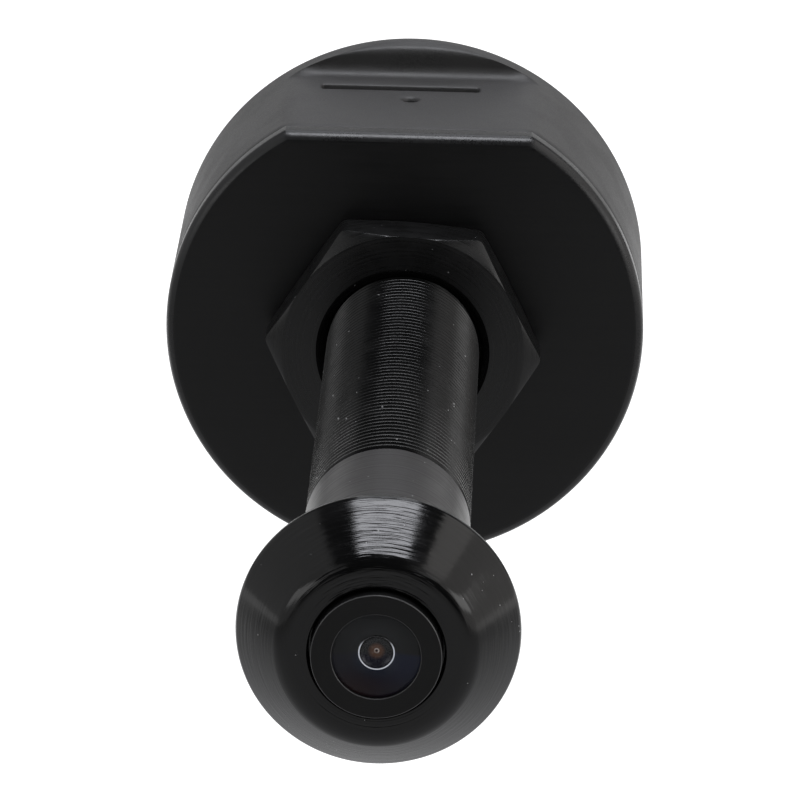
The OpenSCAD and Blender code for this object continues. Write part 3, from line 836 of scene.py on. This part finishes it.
# ------------------------------------------------------------------ indoor unit
def outline_cols(n_arc=200, n_flat=40):
    """Column parameters of the unit's outline: the round part, then the flat, with a column on each corner."""
    return [("arc", i / n_arc) for i in range(n_arc)] + [("flat", i / n_flat) for i in range(n_flat)]


def outline_point(col, r, z):
    c = math.asin(z / r)
    kind, t = col
    if kind == "arc":
        a = PI - c + t * (2 * PI - (PI - 2 * c))
        return r * math.cos(a), r * math.sin(a)
    x = math.sqrt(r * r - z * z)
    return x - 2 * x * t, z


def build_plate():
    cols = outline_cols()
    verts, rows = [], None
    c = 1.0
    t = 2.2
    hole = BARREL_R + 0.07
    index_rows = []
    for col in cols:
        ring = []
        mats = []

        def at(inset, y, mat=0):
            x, z = outline_point(col, PLATE_R - inset, FLAT_Z - inset)
            ring.append((x, PLATE_Y + y, z))
            mats.append(mat)

        ox, oz = outline_point(col, PLATE_R - c, FLAT_Z - c)
        a = math.atan2(oz, ox)

        def round_at(r, y, mat=0):
            ring.append((r * math.cos(a), PLATE_Y + y, r * math.sin(a)))
            mats.append(mat)

        round_at(hole, 1.5)
        round_at(hole, 0.3)
        round_at(hole + 0.25, 0.0)
        for f in (0.25, 0.55, 0.9):
            ring.append(((hole + 0.25) * (1 - f) * math.cos(a) + ox * f, PLATE_Y, (hole + 0.25) * (1 - f) * math.sin(a) + oz * f))
            mats.append(0)
        n = 10
        for i in range(n + 1):
            q = 0.5 * PI * i / n
            at(c - c * math.sin(q), c - c * math.cos(q), 0 if i < 2 else 1)
        at(0.0, t - 0.06, 1)
        at(0.04, t - 0.01, 1)
        at(0.1, t, 0)
        round_at(12.0, t)
        round_at(hole, t)
        rows = len(ring)
        verts += ring
        index_rows = mats
    faces = ring_faces(len(cols), rows)
    index = [index_rows[f % rows] for f in range(len(faces))]
    make("mounting_plate_visual", verts, faces, [M["plate"], M["plate_edge"]], "indoor_unit", ("mounting_plate",), sharp=28, index=index)


def smooth_min(a, b, k):
    h = max(0.0, 1 - abs(a - b) / k)
    return min(a, b) - h * h * k / 4


def build_housing():
    R, flat, f = UNIT_R, FLAT_Z, 1.1
    wall = PLATE_Y + 19.5
    edge = 1.1
    y0 = SEAM_Y
    fine = [math.radians(54 + 0.45 * i) for i in range(161)]
    rest = [math.radians(126 + 288 * i / 190) for i in range(1, 190)]
    angles = fine + rest
    levels = [(y0 + 0.0, flat, 0.06), (y0 + 0.02, flat, 0.02), (y0 + 0.06, flat, 0.0)]
    for i in range(1, 16):
        levels.append((y0 + 0.06 + (wall - f - y0 - 0.06) * i / 15, flat, 0.0))
    for i in range(1, 11):
        a = PI / 2 * i / 10
        levels.append((wall - f + f * math.sin(a), flat + f - f * math.cos(a), 0.0))
    top = R - edge
    for i in range(1, 6):
        levels.append((wall + 0.0015 * i, flat + f + (top - flat - f) * i / 5, 0.0))
    for i in range(1, 10):
        a = PI / 2 * i / 9
        levels.append((wall + 0.0075 + edge * (1 - math.cos(a)), top + edge * math.sin(a) + (0.25 if i == 9 else 0), 0.0))
    levels.append((wall + edge + 0.25, R + 3, 0.0))
    e = 1.0
    for i in range(0, 9):
        a = PI / 2 * i / 8
        levels.append((REAR_Y - e + e * math.sin(a), R + 3, e * (1 - math.cos(a))))
    verts, rows = [], None
    for a in angles:
        s = math.sin(a)
        ring = []
        for y, h, inset in levels:
            r = R if s <= 0.2 else smooth_min(R, h / s, 0.6)
            ring.append(((r - inset), y))
        ring += [(19.95, REAR_Y), (19.83, REAR_Y - 0.05), (19.78, REAR_Y - 0.17), (19.78, COVER_Y0 - 0.03), (18.6, COVER_Y0 - 0.03), (18.6, COVER_Y0 - 1.5)]
        for y in (COVER_Y0 - 1.55, y0):
            r = UNIT_R - 1.8
            if s > 0.2:
                r = min(r, (flat - 1.8) / s)
            ring.append((min(r, 20.2), y))
        rows = len(ring)
        verts += [(r * math.cos(a), y, r * s) for r, y in ring]
    o = make("housing_shell", verts, ring_faces(len(angles), rows), M["housing"], sharp=38)
    in_z = flat - 1.8

    def slot(grow):
        return [(-1.1 + x, PLATE_Y + 15.4 + y) for x, y in stadium(14.7 + 2 * grow, 1.4 + 2 * grow, 0.28 + grow, 5)]

    def pin(grow):
        return [(-0.1 + (0.65 + grow) * math.cos(2 * PI * i / 32), PLATE_Y + 11.75 + (0.65 + grow) * math.sin(2 * PI * i / 32)) for i in range(32)]

    cutters = [
        drill_z(slot, [(in_z - 1, 0.0), (flat - 0.2, 0.0), (flat - 0.09, 0.03), (flat - 0.03, 0.08), (flat - 0.006, 0.15), (flat + 0.1, 0.45)]),
        drill_z(pin, [(in_z - 1, 0.0), (flat - 0.42, 0.0), (flat - 0.2, 0.06), (flat - 0.07, 0.17), (flat - 0.014, 0.32), (flat + 0.1, 0.75)]),
    ]

    def under(points, grow_at):
        return loft("cutter", [[(x, y, z) for x, y in points(g)] for z, g in grow_at], M["steel"])

    cutters.append(under(lambda g: [((1.6 + g) * math.cos(2 * PI * i / 32), PLATE_Y + 6 + (1.6 + g) * math.sin(2 * PI * i / 32)) for i in range(32)], [(-R - 0.2, 0.42), (-R + 0.22, 0.0), (-R + 3, 0.0)]))
    cutters.append(under(lambda g: [(x, PLATE_Y + 11.1 + y) for x, y in stadium(9.4 + 2 * g, 3.6 + 2 * g, 1.79 + g, 8)], [(-R - 0.2, 0.5), (-R + 0.3, 0.0), (-R + 4, 0.0)]))
    cutters.append(under(lambda g: [(8 + (0.5 + g) * math.cos(2 * PI * i / 20), PLATE_Y + 12.3 + (0.5 + g) * math.sin(2 * PI * i / 20)) for i in range(20)], [(-R - 0.2, 0.2), (-R + 1.6, 0.1), (-R + 5, 0.0)]))
    cut(o, *cutters, sharp=38)
    o.name = "main_housing_visual"
    settle(o, "indoor_unit", ("main_housing",))
    # posts for the long screws, inside the shell
    for s, n in ((-1, "left"), (1, "right")):
        x = s * (UNIT_R - 4.6)
        pts = rounded([(1.15, PLATE_Y + 4.7, 0.1), (2.55, PLATE_Y + 4.7, 0.1), (2.55, COVER_Y0 - 1.4), (1.15, COVER_Y0 - 1.4)], 2)
        revolve("screw_post_" + n, pts, M["housing"], "indoor_unit", (), seg=40, x0=x)


def build_rear():
    y0, y1, R = COVER_Y0, COVER_Y1, COVER_R
    # gently crowned disc with a rounded edge and a shallow ring groove
    outline = [(0.0, y0), (R - 0.25, y0), (R, y0 + 0.2), (R, y1 - 0.45), (R - 0.06, y1 - 0.22), (R - 0.22, y1 - 0.08), (R - 0.45, y1 - 0.02)]
    outline += [(R - 1.0, y1), (8.3, y1), (8.05, y1 - 0.06), (7.85, y1 - 0.22), (7.65, y1 - 0.26), (7.45, y1 - 0.22), (7.25, y1 - 0.06), (7.0, y1), (2.0, y1), (0.0, y1)]
    o = lathe_open("rear_cover_visual", outline, M["cover"], seg=192)
    cutters = [drill(4.88, y0 - 1, y1 + 1, flare=0.14, flare_y=y1, seg=96)]
    sx = UNIT_R - 4.6
    for s in (-1, 1):
        cutters.append(drill(1.15, y0 - 1, y1 + 1, s * sx))
        cutters.append(drill(1.93, y0 + 0.6, y1 + 1, s * sx, flare=0.08, flare_y=y1, seg=48))
    cutters.append(drill(0.95, y0 - 1, y1 + 1, 8.2))
    sz = 11.2
    spots = [(0, sz)] + [(1.8 * math.cos(PI / 3 * i), sz + 1.8 * math.sin(PI / 3 * i)) for i in range(6)]
    spots += [(3.6 * math.cos(PI / 6 * i), sz + 3.6 * math.sin(PI / 6 * i)) for i in range(12)]
    for x, z in spots:
        cutters.append(drill(0.5, y0 - 1, y1 + 1, x, z, flare=0.1, flare_y=y1, seg=20))
    cut(o, *cutters, sharp=32)
    settle(o, "indoor_unit", ("rear_cover",))
    # push button with a dished face
    b0, b1 = BUTTON_Y0, BUTTON_Y1
    prof = [(0.0, b0), (1.5, b0), (1.6, b0 + 0.1), (1.6, b0 + 1.1), (5.25, b0 + 1.2), (5.3, b0 + 1.3), (5.3, b0 + 1.9), (5.25, b0 + 2.0), (4.62, b0 + 2.0), (4.6, b0 + 2.1)]
    prof += [(4.6, b1 - 0.36), (4.56, b1 - 0.18), (4.44, b1 - 0.06), (4.25, b1 - 0.005), (4.05, b1)]
    for i in range(1, 13):
        r = 4.05 * (1 - i / 12)
        prof.append((r, b1 - 0.32 * (1 - (r / 4.05) ** 2)))
    lathe_open("power_button_visual", prof, M["button"], "button", ("power_button",), seg=128)
    # long cross-head screws: one object, two solids
    parts = []
    for s in (-1, 1):
        h0, h1 = PLATE_Y + 21.57, PLATE_Y + 22.35
        x = s * sx
        prof = [(0.0, PLATE_Y + 1.6), (0.7, PLATE_Y + 1.6)]
        y = PLATE_Y + 1.9
        while y < h0 - 3:
            prof += [(0.94, y), (0.94, y + 0.08), (0.76, y + 0.22), (0.76, y + 0.28)]
            y += 0.4
        prof += [(0.94, y), (0.94, h0), (1.85, h0), (1.85, h1 - 0.22), (1.78, h1 - 0.08), (1.6, h1), (0.6, h1), (0.0, h1)]
        o = lathe_open("cover_screw_" + ("left" if s < 0 else "right"), prof, M["steel"], seg=40, x0=x, sharp=30)
        for a in (0.35, 0.35 + PI / 2):
            ca, sa = math.cos(a), math.sin(a)
            ring = lambda w, y: [(x + u * ca - v * sa, y, u * sa + v * ca) for u, v in stadium(w, 0.42, 0.08, 2)]
            c = loft("cutter", [ring(1.3, h1 - 0.5), ring(2.3, h1 + 0.02), ring(2.3, h1 + 0.3)], M["steel"])
            cut(o, c, sharp=30)
        parts.append(o)
    me = parts[0].data
    bm = bmesh.new()
    for p in parts:
        bm.from_mesh(p.data)
    bm.to_mesh(me)
    bm.free()
    me.shade_smooth()
    me.set_sharp_from_angle(angle=math.radians(30))
    bpy.data.objects.remove(parts[1])
    parts[0].name = "cover_screws_visual"
    settle(parts[0], "indoor_unit", ("cover_screws",))


build_bezel()
build_lens()
build_barrel()
build_nut()
build_plate()
build_housing()
build_rear()

# ------------------------------------------------------------------ carried-over CAD nodes and their finishes
FINISH = {
    "bezel_seal": "rubber", "second_lens": "inner_glass", "aperture_stop": "lens_ring", "rear_lens": "inner_glass", "lens_retainer": "lens_ring",
    "lens_seal": "rubber", "lens_holder": "holder", "ir_filter": "filter", "image_sensor": "chip", "camera_board": "board",
    "camera_connector": "white_plastic", "ribbon_cable": "ribbon", "ribbon_plug": "white_plastic", "clamp_washer": "nylon",
    "barrel_socket": "brass", "grub_screw": "steel", "main_board": "board", "ribbon_socket": "white_plastic", "processor_can": "can",
    "wifi_module": "can", "antenna": "white_plastic", "card_socket": "can", "memory_card": "card", "reset_switch": "switch",
    "reset_plunger": "white_plastic", "power_switch": "switch", "status_led": "white_plastic", "status_light_guide": "clear",
    "speaker": "holder", "speaker_gasket": "foam", "microphone": "can", "usb_socket": "can", "battery": "foil", "battery_foam": "foam",
    "battery_leads": "red_wire", "battery_connector": "white_plastic",
}
for name, finish in FINISH.items():
    me = node[name].data
    me.materials.clear()
    me.materials.append(M[finish])

# ------------------------------------------------------------------ camera, from the photograph's measured view
cam_data = bpy.data.cameras.new("camera")
cam_data.lens = 280.63
cam_data.sensor_width = 36
cam_data.clip_start, cam_data.clip_end = 0.01, 50
cam = bpy.data.objects.new("camera", cam_data)
scene.collection.objects.link(cam)
X = Vector((0.99943791, 0.02810265, 0.01827881))
Y = Vector((-0.02645511, 0.32624363, 0.94491546))
Z = X.cross(Y)
cam.matrix_world = Matrix(((X.x, Y.x, Z.x, 0.01159152), (X.y, Y.y, Z.y, -0.47038214), (X.z, Y.z, Z.z, 0.18172002), (0, 0, 0, 1)))
scene.camera = cam

# ------------------------------------------------------------------ floor and light
def area(name, loc, target, w, h, power, color=(1, 1, 1)):
    d = bpy.data.lights.new(name, "AREA")
    d.shape, d.size, d.size_y, d.energy, d.color = "RECTANGLE", w, h, power, color
    o = bpy.data.objects.new(name, d)
    scene.collection.objects.link(o)
    o.location = loc
    o.rotation_euler = (Vector(target) - Vector(loc)).to_track_quat("-Z", "Y").to_euler()
    return o


def floor():
    me = bpy.data.meshes.new("floor")
    s, z = 3.0, -0.16
    me.from_pydata([(-s, -s, z), (s, -s, z), (s, s, z), (-s, s, z)], [], [(0, 1, 2, 3)])
    o = bpy.data.objects.new("floor", me)
    scene.collection.objects.link(o)
    m = bpy.data.materials.new("floor_white")
    m.use_nodes = True
    t = m.node_tree
    b = t.nodes["Principled BSDF"]
    b.inputs["Base Color"].default_value = (0.4, 0.4, 0.4, 1)
    b.inputs["Roughness"].default_value = 0.9
    b.inputs["Specular IOR Level"].default_value = 0.1
    tc = t.nodes.new("ShaderNodeTexCoord")
    sep = t.nodes.new("ShaderNodeSeparateXYZ")
    t.links.new(tc.outputs["Object"], sep.inputs[0])
    # the lit sweep starts under the object and brightens towards the back
    first = None
    for lo, hi, a, c in ((-0.2, 0.08, 0.13, 0.25), (0.1, 0.34, 0.0, 0.8), (0.95, 1.7, 0.0, -0.42)):
        n = t.nodes.new("ShaderNodeMapRange")
        n.interpolation_type = "SMOOTHSTEP"
        t.links.new(sep.outputs[1], n.inputs["Value"])
        n.inputs["From Min"].default_value, n.inputs["From Max"].default_value = lo, hi
        n.inputs["To Min"].default_value, n.inputs["To Max"].default_value = a, c
        if first is None:
            first = n.outputs[0]
            continue
        add = t.nodes.new("ShaderNodeMath")
        add.operation = "ADD"
        t.links.new(first, add.inputs[0])
        t.links.new(n.outputs[0], add.inputs[1])
        first = add.outputs[0]
    # and falls off to both sides
    away = t.nodes.new("ShaderNodeMath")
    away.operation = "ABSOLUTE"
    t.links.new(sep.outputs[0], away.inputs[0])
    fall = t.nodes.new("ShaderNodeMapRange")
    fall.interpolation_type = "SMOOTHSTEP"
    t.links.new(away.outputs[0], fall.inputs["Value"])
    fall.inputs["From Min"].default_value, fall.inputs["From Max"].default_value = 0.2, 0.75
    fall.inputs["To Min"].default_value, fall.inputs["To Max"].default_value = 1.0, 0.42
    total = t.nodes.new("ShaderNodeMath")
    total.operation = "MULTIPLY"
    t.links.new(add.outputs[0], total.inputs[0])
    t.links.new(fall.outputs[0], total.inputs[1])
    b.inputs["Emission Color"].default_value = (1, 1, 1, 1)
    t.links.new(total.outputs[0], b.inputs["Emission Strength"])
    g = t.nodes.new("ShaderNodeNewGeometry")
    clear = t.nodes.new("ShaderNodeBsdfTransparent")
    mix = t.nodes.new("ShaderNodeMixShader")
    t.links.new(g.outputs["Backfacing"], mix.inputs[0])
    t.links.new(b.outputs[0], mix.inputs[1])
    t.links.new(clear.outputs[0], mix.inputs[2])
    t.links.new(mix.outputs[0], t.nodes["Material Output"].inputs["Surface"])
    me.materials.append(m)


floor()
world = bpy.data.worlds.new("studio")
scene.world = world
world.use_nodes = True
world.node_tree.nodes["Background"].inputs[0].default_value = (0.95, 0.97, 1.0, 1)
world.node_tree.nodes["Background"].inputs[1].default_value = 0.03
COOL, WARM = (0.93, 0.945, 1.0), (1.0, 0.972, 0.95)
area("overhead_softbox", (0.03, 0.03, 0.62), (0.03, 0.03, 0.0), 0.42, 0.3, 3.0, COOL)
area("overhead_rear", (0.03, 0.6, 0.62), (0.03, 0.6, 0.0), 0.42, 0.6, 1.2, COOL)
area("left_wall", (-1.25, -0.45, 0.76), (0.0, -0.45, 0.76), 2.9, 1.84, 6.2)
area("right_wall_upper", (1.25, -0.2, 1.34), (0.0, -0.2, 1.34), 2.4, 0.885, 7.3, WARM)
area("right_wall_lower", (1.25, -0.2, 0.37), (0.0, -0.2, 0.37), 2.4, 1.06, 5.2, WARM)
area("back_panel_upper", (0.0, 1.7, 0.65), (0.0, 0.0, 0.65), 2.6, 0.5, 1.6)
area("back_panel_lower", (0.0, 1.7, 0.2), (0.0, 0.0, 0.2), 2.6, 0.4, 2.7)
area("front_left_panel", (-1.06, -0.75, 0.31), (0.0, 0.0, 0.0), 1.1, 0.32, 1.2)
area("front_right_panel", (1.2, -0.49, 0.31), (0.0, 0.0, 0.0), 1.0, 0.32, 1.7)
area("front_left_small", (-0.62, -1.05, 0.62), (0.0, 0.0, 0.0), 0.35, 0.35, 0.12)
area("front_right_small", (0.62, -1.05, 0.62), (0.0, 0.0, 0.0), 0.35, 0.35, 0.34)

scene.view_settings.view_transform = "Standard"
scene.view_settings.look = "None"
scene.view_settings.exposure = 0.0
scene.view_settings.gamma = 1.0
